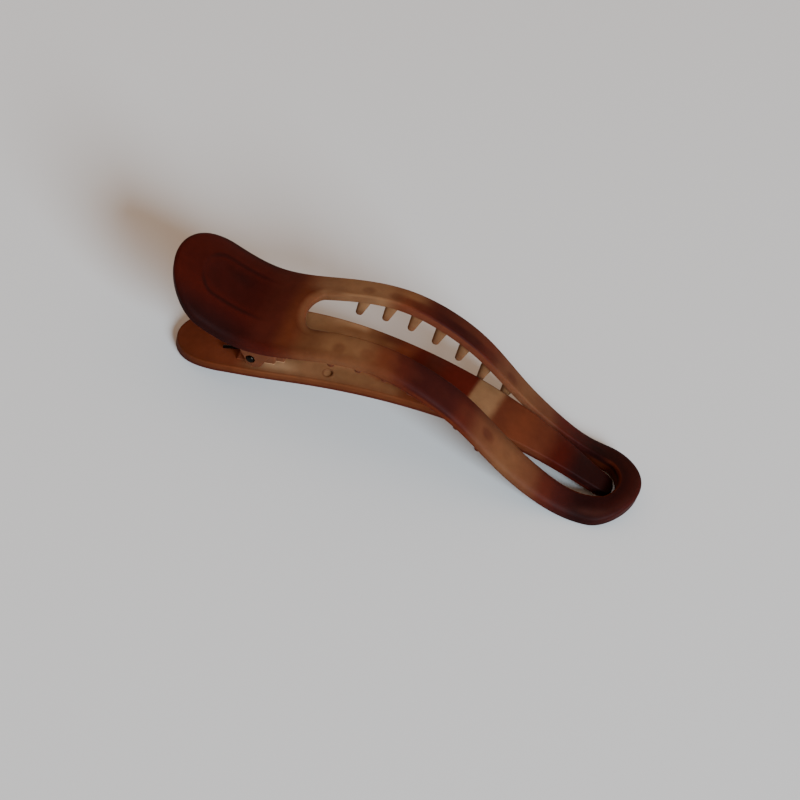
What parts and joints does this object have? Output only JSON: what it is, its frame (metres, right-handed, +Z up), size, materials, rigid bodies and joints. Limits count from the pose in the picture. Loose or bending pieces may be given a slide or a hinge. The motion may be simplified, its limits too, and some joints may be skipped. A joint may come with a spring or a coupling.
{
  "type": "duckbill clip",
  "caption": "Long arched duckbill hair clip: an open toothed upper jaw closes over a tapered lower jaw, with a steel pin, a coil spring and finger pads.",
  "frame": {"origin": "on the surface that the clip lies on, under the middle of its bounding box", "axes": "+X along the clip towards the tip, +Y across it, +Z up; the clip is closed and lies on its lower jaw"},
  "size_m": [0.135, 0.0328, 0.0319],
  "materials": {
    "tortoise_plastic": "frosted translucent tortoise plastic, dark at the upper pad and the tip, amber between them",
    "spring_steel": "drawn steel rod and wire"
  },
  "bodies": {
    "lower": {"lower_jaw": "tortoise_plastic", "hinge_pin": "spring_steel", "torsion_spring": "spring_steel"},
    "upper": {"upper_jaw": "tortoise_plastic"}
  },
  "joints": [
    {"name": "jaw_hinge", "type": "hinge", "parent": "lower", "child": "upper", "pos_m": [-0.0407, 0, 0.014], "axis": [0, -1, 0], "range_deg": [0, 50], "stiffness_Nm_per_rad": 0.1, "springref_deg": -89.95, "deforming": ["torsion_spring"]}
  ]
}
